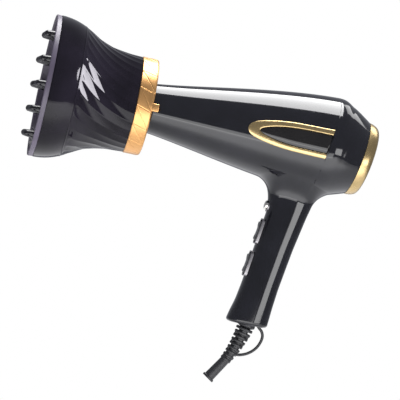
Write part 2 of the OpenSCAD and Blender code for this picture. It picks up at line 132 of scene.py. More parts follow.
def smoothstep(low, high, value):
    t = np.clip((value - low) / (high - low), 0, 1)
    return t * t * (3 - 2 * t)


def through(points, per_span=8):
    """Catmull-Rom curve through points."""
    p = np.array(points, float)
    p = np.vstack([2 * p[0] - p[1], p, 2 * p[-1] - p[-2]])
    t = np.linspace(0, 1, per_span, endpoint=False)[:, None]
    spans = []
    for a, b, c, d in zip(p, p[1:], p[2:], p[3:]):
        spans.append(0.5 * (2 * b + (c - a) * t + (2 * a - 5 * b + 4 * c - d) * t ** 2
                            + (3 * b - a - 3 * c + d) * t ** 3))
    return np.vstack(spans + [p[-2:-1]])


def resample(line, count):
    """Evenly spaced points along a line."""
    line = np.asarray(line, float)
    run = np.concatenate([[0], np.cumsum(np.linalg.norm(np.diff(line, axis=0), axis=1))])
    spots = np.linspace(0, run[-1], count)
    return np.stack([np.interp(spots, run, line[:, i]) for i in range(line.shape[1])], -1)


def rounded(points, radius, steps=4, closed=True):
    """Outline with its corners rounded; radius is one number or one for each corner."""
    p = np.array(points, float)
    count = len(p)
    radii = np.broadcast_to(radius, count)
    out = []
    for i in range(count):
        if not closed and i in (0, count - 1):
            out.append(p[i])
            continue
        before, after = p[i - 1] - p[i], p[(i + 1) % count] - p[i]
        reach = min(radii[i], 0.49 * np.linalg.norm(before), 0.49 * np.linalg.norm(after))
        start = p[i] + before / np.linalg.norm(before) * reach
        end = p[i] + after / np.linalg.norm(after) * reach
        for t in np.linspace(0, 1, steps):
            out.append((1 - t) ** 2 * start + 2 * (1 - t) * t * p[i] + t * t * end)
    return np.array(out)


BARREL = np.vstack([[-20, OUTLET_R], bezier((0, OUTLET_R), (35, OUTLET_R), (125, BARREL_R - 2.5),
                                            (195, BARREL_R), 240), [230, BARREL_R]])
TAIL = np.vstack([[-20, BARREL_R - 0.1], bezier((0, BARREL_R - 0.1), (14, BARREL_R - 0.3),
                                                (24, BARREL_R - 6), (35.6, BARREL_R - 11.6), 80)])


def barrel_radius(x):
    return np.interp(x, BARREL[:, 0], BARREL[:, 1])


def tail_radius(x):
    return np.interp(x, TAIL[:, 0], TAIL[:, 1])


def leaned(p, lean):
    """Points turned about the Y axis, +Z towards +X."""
    c, s = math.cos(lean), math.sin(lean)
    x, z = p[..., 0], p[..., 2]
    return np.stack([x * c + z * s, p[..., 1], z * c - x * s], -1)


def to_tail(p):
    """Points in the frame of the tilted tail, its X from the seam."""
    return leaned(p - (SEAM_X, 0, 0), -TAIL_TILT)


def from_tail(p):
    return leaned(p, TAIL_TILT) + (SEAM_X, 0, 0)


def at_front(p, drop):
    """Points from the frame of the handle's front face at a height, -X out of the face."""
    x = FRONT_REF[0] - (drop + FRONT_REF[1]) * math.tan(GRIP_LEAN)
    return leaned(p, GRIP_LEAN) + (x, 0, -drop)


def spinner(turn, then=lambda p: p):
    """A placing function: points turned about the X axis, and then placed."""
    c, s = math.cos(turn), math.sin(turn)
    return lambda p: then(np.stack([p[:, 0], p[:, 1] * c - p[:, 2] * s,
                                    p[:, 1] * s + p[:, 2] * c], -1))


def around(count, first=0.0):
    """Angles spaced evenly round a circle."""
    return 2 * np.pi * (np.arange(count) + first) / count


def circle(radius, count, first=0.5):
    """Points round a circle, or round one circle for each radius."""
    radius, angle = np.asarray(radius, float)[..., None], around(count, first)
    return np.stack([radius * np.cos(angle), radius * np.sin(angle)], -1)


def lathed(x, radius, angle):
    """Points at a distance from the X axis, at an angle from +Y."""
    x, radius, angle = np.broadcast_arrays(x, radius, angle)
    return np.stack([x, radius * np.cos(angle), radius * np.sin(angle)], -1)


# ---------------- the body as one smooth field

def barrel_field(p):
    """About the distance outside the barrel and the tail behind it."""
    q = to_tail(p)
    front = np.hypot(p[..., 1], p[..., 2]) - barrel_radius(p[..., 0])
    back = np.hypot(q[..., 1], q[..., 2]) - tail_radius(q[..., 0])
    share = smoothstep(0, TAIL_BLEND, q[..., 0])
    return front * (1 - share) + back * share


def side_line(points):
    """Heights and X of one side of the handle, its corners eased."""
    z = np.arange(-200, -20, 0.5)
    p = np.array(sorted(points), float)
    x = np.interp(z, p[:, 0], p[:, 1])
    window = np.hanning(27)
    ends = np.pad(x, 13, mode="reflect", reflect_type="odd")
    return z, np.convolve(ends, window / window.sum(), mode="valid")


button_place = partial(at_front, drop=BUTTON_DROP)
FRONT_SIDE = side_line(GRIP_FRONT)
BACK_SIDE = side_line(GRIP_BACK)


def handle_field(p):
    front, back = np.interp(p[..., 2], *FRONT_SIDE), np.interp(p[..., 2], *BACK_SIDE)
    half = (back - front) / 2
    u = np.abs(p[..., 0] - (front + back) / 2) / half
    v = np.abs(p[..., 1]) / GRIP_HALF_W
    n = GRIP_SQUARE
    g = np.maximum((u ** n + v ** n) ** (1 / n), 0.05)
    slope = np.hypot((u / g) ** (n - 1) / half, (v / g) ** (n - 1) / GRIP_HALF_W)
    side = (g - 1) / slope
    bottom = GRIP_BOTTOM - p[..., 2]
    top = p[..., 2] + 30
    r = 3.0
    low = np.hypot(np.maximum(side + r, 0), np.maximum(bottom + r, 0))
    low = low + np.minimum(np.maximum(side, bottom), -r)
    return np.maximum(low, top)


def body_field(p):
    """The shells' outside: barrel and handle, joined by a round fillet."""
    sink = 0.25 * smoothstep(0, 2, to_tail(p)[..., 0])   # behind the seam it dives under the tail
    a, b = barrel_field(p) + sink, handle_field(p)
    r = 15.0
    u, v = np.maximum(r - a, 0), np.maximum(r - b, 0)
    return np.maximum(r, np.minimum(a, b)) - np.hypot(u, v)


def gradient(field, p, step=0.35):
    shifts = np.eye(3) * step
    return np.stack([field(p + s) - field(p - s) for s in shifts], -1) / (2 * step)


def outward(field, p):
    g = gradient(field, p)
    return g / np.linalg.norm(g, axis=-1, keepdims=True)


def settle(field, p, rounds=3):
    """Moves points onto the field's zero surface."""
    for _ in range(rounds):
        g = gradient(field, p)
        p = p - field(p)[..., None] * g / np.maximum((g * g).sum(-1, keepdims=True), 0.05)
    return p


def surface_net(field, low, high, step):
    """Quads over the zero surface of a field within a box."""
    axes = [np.arange(a, b + step, step) for a, b in zip(low, high)]
    inside = field(np.stack(np.meshgrid(*axes, indexing="ij"), -1)) < 0
    near = [inside[tuple(slice(o, n - 1 + o) for o, n in zip(offset, inside.shape))]
            for offset in itertools.product((0, 1), repeat=3)]
    count = np.sum(near, axis=0)
    active = (count > 0) & (count < 8)
    number = np.full(active.shape, -1)
    number[active] = np.arange(active.sum())
    points = np.array(low) + (np.argwhere(active) + 0.5) * step
    quads = []
    for axis in range(3):
        u, v = (axis + 1) % 3, (axis + 2) % 3
        before, after = [slice(None)] * 3, [slice(None)] * 3
        before[axis], after[axis] = slice(0, -1), slice(1, None)
        for side in (before, after):
            side[u] = side[v] = slice(1, -1)
        start, end = inside[tuple(before)], inside[tuple(after)]
        for leaving, order in ((start & ~end, 1), (~start & end, -1)):
            spots = np.argwhere(leaving)
            corners = []
            for du, dv in ((0, 0), (1, 0), (1, 1), (0, 1))[::order]:
                cell = spots.copy()
                cell[:, u] += du
                cell[:, v] += dv
                corners.append(number[tuple(cell.T)])
            quads.append(np.stack(corners, -1))
    return points, np.vstack(quads)


def relaxed(field, points, quads, rounds=8):
    """Evens out a net's points along the surface that they lie on."""
    edges = np.vstack([quads[:, [i, (i + 1) % 4]] for i in range(4)])
    for _ in range(rounds):
        total, count = np.zeros_like(points), np.zeros(len(points))
        for a, b in ((0, 1), (1, 0)):
            np.add.at(total, edges[:, a], points[edges[:, b]])
            np.add.at(count, edges[:, a], 1)
        points = settle(field, points + 0.5 * (total / count[:, None] - points), 1)
    return settle(field, points, 2)


# ---------------- pieces

def make_piece(name, points, faces, node, crease=32, normals=None, extra=False):
    """A piece from points in millimetres, with the body and slot of the node it replaces.

    An extra piece has a node's body and slot, and replaces nothing.
    """
    mesh = bpy.data.meshes.new(name)
    mesh.from_pydata((np.asarray(points, float).reshape(-1, 3) * MM).tolist(), [],
                     [[int(i) for i in face] for face in faces])
    if normals is None:
        bm = bmesh.new()
        bm.from_mesh(mesh)
        bmesh.ops.recalc_face_normals(bm, faces=bm.faces)
        bm.to_mesh(mesh)
        bm.free()
    mesh.polygons.foreach_set("use_smooth", [True] * len(mesh.polygons))
    if normals is None:
        mesh.set_sharp_from_angle(angle=math.radians(crease))
    else:
        mesh.normals_split_custom_set(normals)
    piece = bpy.data.objects.new(name, mesh)
    bpy.context.scene.collection.objects.link(piece)
    mesh.materials.append(materials[slot_of[node]])
    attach(piece, body_of[node])
    if not extra:
        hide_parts(node)
    return piece


def grid_faces(rows, columns, wrap_rows=False, wrap_columns=True):
    """Quads between the points of a grid, numbered row by row."""
    i, k = np.meshgrid(np.arange(rows if wrap_rows else rows - 1),
                       np.arange(columns if wrap_columns else columns - 1), indexing="ij")
    i2, k2 = (i + 1) % rows, (k + 1) % columns
    quads = [i * columns + k, i * columns + k2, i2 * columns + k2, i2 * columns + k]
    return np.stack(quads, -1).reshape(-1, 4).tolist()


def capped(rows, columns):
    """Quads of a closed tube and the faces over its two ends."""
    ends = [list(range(columns))[::-1], list(range((rows - 1) * columns, rows * columns))]
    return grid_faces(rows, columns) + ends


def band(a, b):
    """Quads between two closed rings of corners."""
    return [(a[k - 1], a[k], b[k], b[k - 1]) for k in range(len(a))]


def ringed(rows, count):
    """Closed skin round the X axis: rows are (x, radius or radii, turn)."""
    points = np.vstack([lathed(x, radius, around(count) + turn) for x, radius, turn in rows])
    return points, grid_faces(len(rows), count, wrap_rows=True)


class Parts:
    """Points and faces gathered from several shapes into one piece."""

    def __init__(self):
        self.points, self.faces = [], []

    def add(self, points, faces):
        points = np.asarray(points, float).reshape(-1, 3)
        start = sum(len(p) for p in self.points)
        self.points.append(points)
        self.faces += [[start + int(i) for i in face] for face in faces]
        return self

    def piece(self, name, node, **more):
        return make_piece(name, np.vstack(self.points), self.faces, node, **more)


def turned(profile, count=128, place=lambda p: p):
    """Closed outline of (x, radius) turned round the X axis: points and faces."""
    profile = np.array(profile, float)
    points, faces = ringed([(x, max(radius, 0.01), 0) for x, radius in profile], count)
    return place(points), faces


def swept(centres, across, sections):
    """Capped skin over (m, n, 2) sections at m centres, with two directions across the path."""
    a, b = (np.broadcast_to(v, centres.shape)[:, None] for v in across)
    points = centres[:, None] + sections[..., :1] * a + sections[..., 1:] * b
    return points, capped(*sections.shape[:2])


def bevelled(bm, edges, radius, segments, place):
    """Points and faces of a mesh after its edges are rounded."""
    bmesh.ops.bevel(bm, geom=edges, offset=radius, segments=segments, profile=0.5,
                    affect="EDGES")
    points, faces = from_bmesh(bm)
    return place(points), faces


def block(low, high, radius, place, segments=3):
    """Box with rounded edges."""
    bm = bmesh.new()
    bmesh.ops.create_cube(bm, size=1)
    low, high = np.array(low, float), np.array(high, float)
    for v in bm.verts:
        v.co = Vector((low + high) / 2 + np.array(v.co) * (high - low))
    return bevelled(bm, bm.edges[:], radius, segments, place)


def bar(outline, y0, y1, radius, place, segments=3):
    """Outline in XZ extended along Y, its end edges rounded."""
    bm = bmesh.new()
    ends = [[bm.verts.new((x, y, z)) for x, z in outline] for y in (y0, y1)]
    for quad in band(*ends):
        bm.faces.new(quad)
    caps = [bm.faces.new(ends[0][::-1]), bm.faces.new(ends[1])]
    return bevelled(bm, [e for f in caps for e in f.edges], radius, segments, place)


def from_bmesh(bm):
    bm.verts.index_update()
    points = np.array([v.co for v in bm.verts], float)
    faces = [[v.index for v in f.verts] for f in bm.faces]
    bm.free()
    return points, faces


# ---------------- materials

BROAD_SIZE = 24          # size of the broad variation in colour and gloss
# Finish of each slot: roughness and its spread, metallic, grain size, bump height, colour spread
FINISH = {
    "body_black": (0.07, 0.02, 0, 3.0, 0.004, 0.25),
    "insert_black": (0.05, 0.02, 0, 3.0, 0.004, 0.25),
    "cup_black": (0.06, 0.02, 0, 3.0, 0.004, 0.25),
    "prong_black": (0.16, 0.05, 0, 1.2, 0.01, 0.3),
    "rocker_black": (0.3, 0.06, 0, 0.5, 0.03, 0.3),
    "inner_black": (0.45, 0.08, 0, 0.4, 0.05, 0.3),
    "antique_gold": (0.27, 0.06, 1, 0.6, 0.015, 0.12),
    "warm_gold": (0.36, 0.08, 1, 0.5, 0.03, 0.14),
    "bowl_purple": (0.42, 0.06, 0, 0.35, 0.035, 0.16),
    "bezel_silver": (0.3, 0.06, 1, 0.5, 0.02, 0.1),
    "button_chrome": (0.1, 0.04, 1, 1.0, 0.005, 0.06),
    "guard_rubber": (0.42, 0.08, 0, 0.5, 0.03, 0.3),
    "sleeve_silicone": (0.55, 0.08, 0, 0.5, 0.05, 0.25),
}
CLASS_FINISH = {         # for the slots without a finish of their own
    "matte_plastic": (0.5, 0.08, 0, 0.4, 0.06, 0.2),
    "brushed_steel": (0.32, 0.1, 1, 0.3, 0.04, 0.12),
    "cast_iron": (0.5, 0.1, 1, 0.5, 0.08, 0.2),
    "brass": (0.3, 0.08, 1, 0.5, 0.03, 0.14),
    "ceramic": (0.45, 0.1, 0, 0.8, 0.05, 0.15),
    "rubber": (0.55, 0.08, 0, 0.4, 0.06, 0.25),
}
SPECULAR = {"cup_black": 0.2}
COLOUR = {
    "body_black": (0.006, 0.006, 0.009),
    "insert_black": (0.008, 0.007, 0.007),
    "cup_black": (0.006, 0.005, 0.008),
    "antique_gold": (0.5, 0.37, 0.18),
    "warm_gold": (0.66, 0.36, 0.14),
    "bowl_purple": (0.085, 0.07, 0.105),
    "bezel_silver": (0.26, 0.25, 0.26),
    "prong_black": (0.007, 0.006, 0.009),
}


def feed(tree, node, **inputs):
    """Gives inputs a value or a link; an underscore stands for a space in a name."""
    for name, value in inputs.items():
        socket = node.inputs[name.replace("_", " ")]
        if isinstance(value, bpy.types.NodeSocket):
            tree.links.new(value, socket)
        else:
            socket.default_value = value
    return node


def add_node(tree, kind, **inputs):
    return feed(tree, tree.nodes.new("ShaderNode" + kind), **inputs)


def make_material(slot, colour, finish):
    """Moulded or plated surface: fine grain, and broad soft variation in colour and gloss."""
    rough, spread, metal, grain, bump, tint = finish
    material = bpy.data.materials.new(slot)
    material.use_nodes = True
    tree = material.node_tree
    where = add_node(tree, "TexCoord").outputs["Object"]
    broad, fine = (add_node(tree, "TexNoise", Vector=where, Scale=1 / (size * MM),
                            Detail=2).outputs["Fac"] for size in (BROAD_SIZE, grain))
    ramp = add_node(tree, "ValToRGB", Fac=broad)
    for element, spot, gain in zip(ramp.color_ramp.elements, (0.3, 0.7), (1 - tint, 1 + tint)):
        element.position = spot
        element.color = (*(min(c * gain, 1) for c in colour), 1)
    level = add_node(tree, "MapRange", Value=broad, To_Min=rough - spread, To_Max=rough + spread)
    relief = add_node(tree, "Bump", Height=fine, Strength=0.6, Distance=bump * MM)
    feed(tree, tree.nodes["Principled BSDF"], Metallic=metal,
         Specular_IOR_Level=SPECULAR.get(slot, 0.5), Base_Color=ramp.outputs["Color"],
         Roughness=level.outputs["Result"], Normal=relief.outputs["Normal"])
    return material


materials = {}
for entry in frame["record"]["materials"]:
    key = entry["slot"]
    materials[key] = make_material(key, COLOUR.get(key, entry["base_color"]),
                                   FINISH.get(key) or CLASS_FINISH[entry["class"]])


# ---------------- shells

def rule_out(bm, test):
    """Deletes the faces whose centres pass a test on an (n, 3) array."""
    faces = list(bm.faces)
    centres = np.array([f.calc_center_median() for f in faces], float)
    doomed = [f for f, out in zip(faces, test(centres)) if out]
    bmesh.ops.delete(bm, geom=doomed, context="FACES")


def slice_faces(bm, point, normal, near=None, clear=False):
    """Cuts the mesh along a plane, all of it or the faces within reach of a centre."""
    faces = bm.faces[:]
    if near is not None:
        centre, reach = Vector(near[0]), near[1]
        faces = [f for f in faces if (f.calc_center_median() - centre).length < reach]
    geom = set(faces)
    for f in faces:
        geom.update(f.verts)
        geom.update(f.edges)
    bmesh.ops.bisect_plane(bm, geom=list(geom), dist=1e-4, plane_co=Vector(point),
                           plane_no=Vector(normal), clear_outer=clear)


def cut_window(bm, place, outline):
    """Opening whose flat outline (local Y, Z) is convex."""
    outline = np.array(outline, float)
    corners = place(np.column_stack([np.zeros(len(outline)), outline]))
    centre = corners.mean(0)
    axis = place(np.array([[1.0, 0, 0]]))[0] - place(np.zeros((1, 3)))[0]
    reach = np.linalg.norm(corners - centre, axis=1).max() + 6
    planes = []
    for a, b in zip(corners, np.roll(corners, -1, axis=0)):
        normal = np.cross(b - a, axis)
        normal *= np.sign(normal @ (a - centre))
        planes.append((a, normal))
        slice_faces(bm, a, normal, near=(centre, reach))

    def within(c):
        ok = np.abs((c - centre) @ axis) < 9
        for point, normal in planes:
            ok &= (c - point) @ normal < 0
        return ok
    rule_out(bm, within)


def trim_half_height(x, outline):
    """Half height of a trim outline at X, below zero in front of its nose."""
    return np.interp(x, *np.transpose(outline), left=-1)


def thickened(points, faces, normals, depth):
    """Closed wall from an open surface: points, faces and one normal for each face corner."""
    n = len(points)
    both = np.vstack([points, points - depth * normals])
    edges = dict.fromkeys(e for face in faces for e in zip(face, face[1:] + face[:1]))
    walls = [[b, a, a + n, b + n] for a, b in edges if (b, a) not in edges]
    inner = [[i + n for i in reversed(face)] for face in faces]
    loops = [normals[i] for face in faces for i in face]
    loops += [-normals[i - n] for face in inner for i in face]
    for wall in walls:
        p = both[wall]
        across = np.cross(p[2] - p[0], p[3] - p[1])
        across = across / max(np.linalg.norm(across), 1e-9)
        loops += [across] * 4
    return both, faces + inner + walls, np.array(loops)


def build_shells():
    """Both halves of the body from one net, cut at the seams and opened for what shows."""
    step = 1.5
    points, quads = surface_net(body_field, (-3.1, -52, -188), (214, 3.2, 52), step)
    points = relaxed(body_field, points, quads)
    for side, name in ((-1, "body_shell_right"), (1, "body_shell_left")):
        bm = bmesh.new()
        verts = [bm.verts.new(p) for p in points]
        for quad in quads:
            bm.faces.new([verts[i] for i in quad])
        slice_faces(bm, (0, -0.06, 0), (0, 1, 0), clear=True)
        slice_faces(bm, (0, 0, 0), (-1, 0, 0), clear=True)
        seam_normal = (math.cos(TAIL_TILT), 0, -math.sin(TAIL_TILT))
        slice_faces(bm, from_tail(np.array([-SEAM_GAP, 0, 0])), seam_normal)
        rule_out(bm, lambda c: (to_tail(c)[:, 0] > -SEAM_GAP) & (barrel_field(c) < -0.1))

        def under_trim(c):
            outer = trim_half_height(c[:, 0], TRIM_OUTER)
            inner = trim_half_height(c[:, 0], TRIM_INNER)
            middle = np.where(inner < 0, outer - 3, (outer + inner) / 2)
            return (np.abs(c[:, 2] - TRIM_Z) < middle) & (to_tail(c)[:, 0] < -SEAM_GAP)
        rule_out(bm, under_trim)
        for drop in ROCKER_DROPS.values():
            cut_window(bm, partial(at_front, drop=drop),
                       [(-6.5, -11.8), (6.5, -11.8), (6.5, 11.8), (-6.5, 11.8)])
        cut_window(bm, button_place, circle(5.6, 12))
        if side > 0:
            for v in bm.verts:
                v.co.y = -v.co.y
            bmesh.ops.reverse_faces(bm, faces=bm.faces[:])
            for x, z in SCREW_SPOTS:
                cut_window(bm, lambda p, x=x, z=z: np.column_stack(
                    [x + p[:, 1], 15 - p[:, 0], z + p[:, 2]]), circle(2.9, 20))
        co, faces = from_bmesh(bm)
        wall, faces, loops = thickened(co, faces, outward(body_field, co), SKIN - 0.2)
        make_piece(name + "_skin", wall, faces, name, normals=loops)


def build_rear_shell():
    """Turned in the tail's frame, and eased to the barrel's line at the seam."""
    rows = [(SEAM_GAP, 2.3), (SEAM_GAP, 0.5), (SEAM_GAP + 0.14, 0.15), (SEAM_GAP + 0.5, 0)]
    rows += [(t, 0) for t in np.linspace(1.4, 34.8, 40)]
    rows += [(35.4, 0.12), (35.62, 0.5), (35.62, 2.4), (35.4, 2.6), (33, 2.6)]
    rows += [(t, 2.3) for t in np.linspace(31, 2, 12)]
    angle = around(192)
    t, depth = (np.array(column)[:, None] for column in zip(*rows))
    radius = tail_radius(t) + 0 * angle

    def spots(r):
        return from_tail(lathed(t, r, angle))
    for _ in range(4):
        radius = radius - barrel_field(spots(radius))
    make_piece("rear_shell_skin", spots(radius - depth),
               grid_faces(len(rows), len(angle), wrap_rows=True), "rear_shell")


def on_barrel(x, height, lift, side):
    """Point on the barrel's side at a height above the trim's middle, lifted off the skin."""
    base = barrel_radius(x)
    lean = np.arcsin((TRIM_Z + height) / base)
    return lathed(x, base + lift, lean) * (1, side, 1)


def trim_line(outline, count):
    """Both arms of a trim edge from the lower rear end round the nose to the upper one."""
    half = through([(x, -h) for x, h in outline[:0:-1]] + outline, 10)
    limit = SEAM_X + (TRIM_Z + half[:, 1]) * math.tan(TAIL_TILT) - 2 * SEAM_GAP
    keep = half[:, 0] < limit
    first, last = np.argmax(keep), len(keep) - 1 - np.argmax(keep[::-1])

    def end(i, j):
        gap_i, gap_j = half[i, 0] - limit[i], half[j, 0] - limit[j]
        return half[i] + (half[j] - half[i]) * gap_i / (gap_i - gap_j)
    line = np.vstack([end(first - 1, first), half[first:last + 1], end(last, last + 1)])
    return resample(line, count)


def build_trims():
    """A band on each side whose section runs from the trim's inner edge to its outer one."""
    count = 141
    outer, inner = trim_line(TRIM_OUTER, count), trim_line(TRIM_INNER, count)
    section = np.array([(0, -1.3), (0, -0.2), (0.015, 0.1), (0.06, 0.32), (0.16, 0.47),
                        (0.34, 0.56), (0.5, 0.58), (0.66, 0.56), (0.84, 0.47), (0.94, 0.3),
                        (0.985, 0.1), (1, -0.2), (1, -1.3)])
    for side, name in ((-1, "right"), (1, "left")):
        spot = inner[:, None] + (outer - inner)[:, None] * section[None, :, :1]
        points = on_barrel(spot[..., 0], spot[..., 1], section[None, :, 1] + 0 * spot[..., 0],
                           side)
        make_piece(f"trim_{name}_band", points, capped(*points.shape[:2]), f"trim_{name}")
        build_insert(inner, side, name)


def build_insert(edge, side, name):
    """Crowned panel between the arms of the trim."""
    half = (len(edge) + 1) // 2
    lower, upper = edge[:half][::-1], edge[half - 1:]
    across = np.linspace(0, 1, 25)[None, :, None]
    spot = lower[:, None] * (1 - across) + upper[:, None] * across
    u = 2 * across[..., 0] - 1
    width = (upper - lower)[:, 1][:, None]
    crown = -0.95 + np.minimum(0.9, 0.06 * width) * (1 - u ** 2)
    faces = grid_faces(half, spot.shape[1], wrap_columns=False)
    piece = make_piece(f"side_insert_{name}_panel",
                       on_barrel(spot[..., 0], spot[..., 1], crown, side), faces,
                       f"side_insert_{name}")
    wall = piece.modifiers.new("wall", "SOLIDIFY")
    wall.thickness = 0.8 * MM
    wall.offset = -1


# ---------------- switches

def frame_ring(half_y, half_z, corner, section, drop):
    """Ring swept round a rounded window: section rows are (outwards, x)."""
    quarter = np.linspace(0, np.pi / 2, 6)
    spots, normals = [], []
    for k, sides in enumerate(((1, 1), (-1, 1), (-1, -1), (1, -1))):
        turn = quarter + k * np.pi / 2
        normals.append(np.column_stack([np.cos(turn), np.sin(turn)]))
        middle = np.array(sides) * (half_y - corner, half_z - corner)
        spots.append(middle + corner * normals[-1])
    spots, normals = np.vstack(spots), np.vstack(normals)
    section = np.array(section, float)
    flat = spots[:, None] + normals[:, None] * section[None, :, :1]
    points = np.concatenate([section[None, :, 1:] + 0 * flat[..., :1], flat], -1)
    faces = grid_faces(len(spots), len(section), wrap_rows=True)
    return at_front(points, drop), faces


def build_switches():
    bezel = rounded([(0.1, 3), (0.1, -1.8), (1.5, -1.8), (1.7, -1.2), (1.7, 3)], 0.35)
    for which, drop in ROCKER_DROPS.items():
        make_piece(f"{which}_bezel_ring", *frame_ring(5.75, 11.0, 1.2, bezel, drop),
                   f"{which}_bezel")
        build_rocker(which, partial(at_front, drop=drop))
    ring = rounded([(2.2, 4.62), (-1.0, 4.62), (-1.3, 5.0), (-1.2, 6.0), (-0.8, 6.4), (2.2, 6.4)],
                   0.25)
    make_piece("button_bezel_ring", *turned(ring, 64, button_place), "button_bezel")
    dome = [(-4.35, 0), (-4.3, 1.6), (-4.1, 2.9), (-3.7, 3.8), (-3.1, 4.35), (-2.2, 4.5),
            (2.4, 4.5), (2.4, 5.5), (3.5, 5.5), (3.5, 1.2), (6.7, 1.2), (6.7, 0)]
    make_piece("cool_button_cap", *turned(dome, 64, button_place), "cool_button", crease=40)


def build_rocker(which, place):
    """Rocker with a shallow saddle for the fingertip and three grip lines at each end."""
    pivot, swing, top = 3.5, 10.75, -3.05
    ends = math.sqrt(swing ** 2 - (pivot - top) ** 2)
    face = []
    for z in np.linspace(-ends, ends, 61):
        saddle = 0.55 * (1 - (z / ends) ** 2)
        grip = max(0.0, math.cos((abs(z) - 4.6) * 2 * math.pi / 1.5)) * (4.2 < abs(z) < 7.9)
        face.append((top + saddle - 0.22 * grip, z))
    angle = np.linspace(math.atan2(ends, top - pivot), math.atan2(swing - 0.05, 2), 10)
    side = [(pivot + swing * math.cos(a), swing * math.sin(a)) for a in angle[1:]]
    outline = face + side + [(x, -z) for x, z in side[::-1]]
    parts = Parts().add(*bar(outline, -5.5, 5.5, 0.55, place))
    for y in (-6.1, 6.1):
        parts.add(*bar(circle(1.05, 16) + (pivot, 0), y - 0.9, y + 0.9, 0.15, place))
    parts.piece(f"{which}_rocker_key", f"{which}_rocker")


# ---------------- cord guard and loop

def build_guard():
    """Strain relief: ribs on a bent core, joined by bars that alternate sides."""
    arc = BEND_R * (BEND_TO - BEND_FROM)
    rib_at = [BEND_R * (math.radians(12.2 + 2 * i) - BEND_FROM) for i in range(RIB_COUNT)]
    rib_r = [8.4 - 0.36 * i for i in range(RIB_COUNT)]
    core, tail_r, bore = 4.7, 5.1, 3.8
    rows = [(-5.2, 3.9), (-5.2, 11.2), (-2.3, 11.2), (-2.3, 8.9), (1.9, 8.9), (2.5, 8.4)]
    for s, r in zip(rib_at, rib_r):
        rows += [(s - 1.42, core), (s - 1.35, r - 0.75), (s - 1.2, r - 0.25), (s - 0.75, r),
                 (s + 0.75, r), (s + 1.2, r - 0.25), (s + 1.35, r - 0.75), (s + 1.42, core)]
    end = arc + TAIL_LEN
    rows += [(end - 2.5, tail_r), (end - 2.3, 5.9), (end - 1.9, 6.2), (end - 0.4, 6.2), (end, 5.7),
             (end, 4.0), (end - 0.6, bore), (end - 20, bore)]
    s, radius = np.array(rows).T
    lean = BEND_FROM + np.clip(s, 0, arc) / BEND_R
    over = np.maximum(s - arc, 0)
    x = BEND_CENTRE[0] + BEND_R * np.cos(lean) - over * np.sin(lean)
    z = BEND_CENTRE[1] - BEND_R * np.sin(lean) - over * np.cos(lean)
    inside = s < 0                       # the lip and its neck, straight up into the handle
    x[inside], z[inside] = GUARD_X, (z - s)[inside]
    heading = np.stack([-np.sin(lean), 0 * lean, -np.cos(lean)], -1)
    heading[inside] = (0, 0, -1)
    parts = Parts().add(*swept(np.stack([x, 0 * x, z], -1),
                               (SIDEWAYS, np.cross(heading, SIDEWAYS)), circle(radius, 72)))
    for i in range(RIB_COUNT - 1):
        halfway = BEND_FROM + (rib_at[i] + rib_at[i + 1]) / 2 / BEND_R
        r = (rib_r[i] + rib_r[i + 1]) / 2 - 0.7

        def place(p):
            y, out = (p[:, 1], p[:, 2]) if i % 2 else (p[:, 2], p[:, 1])
            spot = np.stack([BEND_R + out, y, p[:, 0]], -1)
            return leaned(spot, halfway) + (BEND_CENTRE[0], 0, BEND_CENTRE[1])
        for way in (-1, 1):
            low, high = sorted((way * (core - 0.6), way * r))
            parts.add(*block((-1.6, -2.2, low), (1.6, 2.2, high), 0.5, place))
    parts.piece("cord_guard_relief", "cord_guard")
    build_loop()


def build_loop():
    line = through(LOOP_LINE)
    centres = np.stack([line[:, 0], 0 * line[:, 0], line[:, 1]], -1)
    heading = np.gradient(centres, axis=0)
    heading /= np.linalg.norm(heading, axis=1, keepdims=True)
    skin = swept(centres, (SIDEWAYS, np.cross(heading, SIDEWAYS)),
                 circle(np.full(len(line), 1.4), 20))
    make_piece("hanging_loop_cord", *skin, "hanging_loop")


# ---------------- rear cover

def hoop(x0, x1, r0, r1, radius):
    """Section of a ring, its corners rounded."""
    return rounded([(x0, r0), (x1, r0), (x1, r1), (x0, r1)], radius)


def build_cover():
    edge = bezier((35.85, 36.2), (40.5, 36), (45.6, 34.6), (46.4, 31), 20)
    profile = np.vstack([[(28, 33.2), (35.85, 33.2), (35.85, 35.9)], edge,
                         rounded([(46.4, 31), (46.3, 29.9), (45.4, 29.7), (42, 29.7), (40.1, 31),
                                  (28, 31)], 0.3, closed=False)])
    make_piece("cover_ring_band", *turned(profile, 192, from_tail), "cover_ring", crease=40)
    parts = Parts().add(*turned(hoop(42, 45.4, 27.6, 29.5, 0.35), 128, from_tail))
    for r in (10, 14, 18, 22, 26):
        parts.add(*turned(hoop(43.3, 45, r - 0.7, r + 0.7, 0.4), 96, from_tail))
    hub = [(42.6, 0), (42.6, 5.8), (44.6, 6), (45.2, 5.3), (45.5, 3.2), (45.6, 0)]
    parts.add(*turned(hub, 64, from_tail))
    for k in range(12):
        parts.add(*block((42.6, -0.6, 5), (44.7, 0.6, 28.4), 0.25,
                         spinner(k * math.pi / 6, from_tail), 2))
    parts.piece("cover_grille_guard", "cover_grille")
    build_mesh()


def build_mesh():
    """Woven wire filter behind the grille."""
    pitch, wire, reach = (1.6), 0.19, 30.6
    parts = Parts()
    count = int(reach // pitch)
    for way in (0, 1):
        for i in range(-count, count + 1):
            offset = i * pitch
            half = math.sqrt(reach ** 2 - offset ** 2)
            run = np.arange(-half, half, pitch / 4)
            if len(run) < 3:
                continue
            sign = 1 if (i + way) % 2 else -1
            wave = 39.7 + sign * 0.2 * np.cos(np.pi * run / pitch)
            spots = [wave, 0 * run + offset, run] if way else [wave, run, 0 * run + offset]
            centres = np.stack(spots, -1)
            across = (SIDEWAYS if way else (0, 0, 1.0), (1.0, 0, 0))
            points, faces = swept(centres, across, circle(np.full(len(run), wire), 5))
            parts.add(from_tail(points), faces)
    parts.piece("filter_mesh_weave", "filter_mesh")


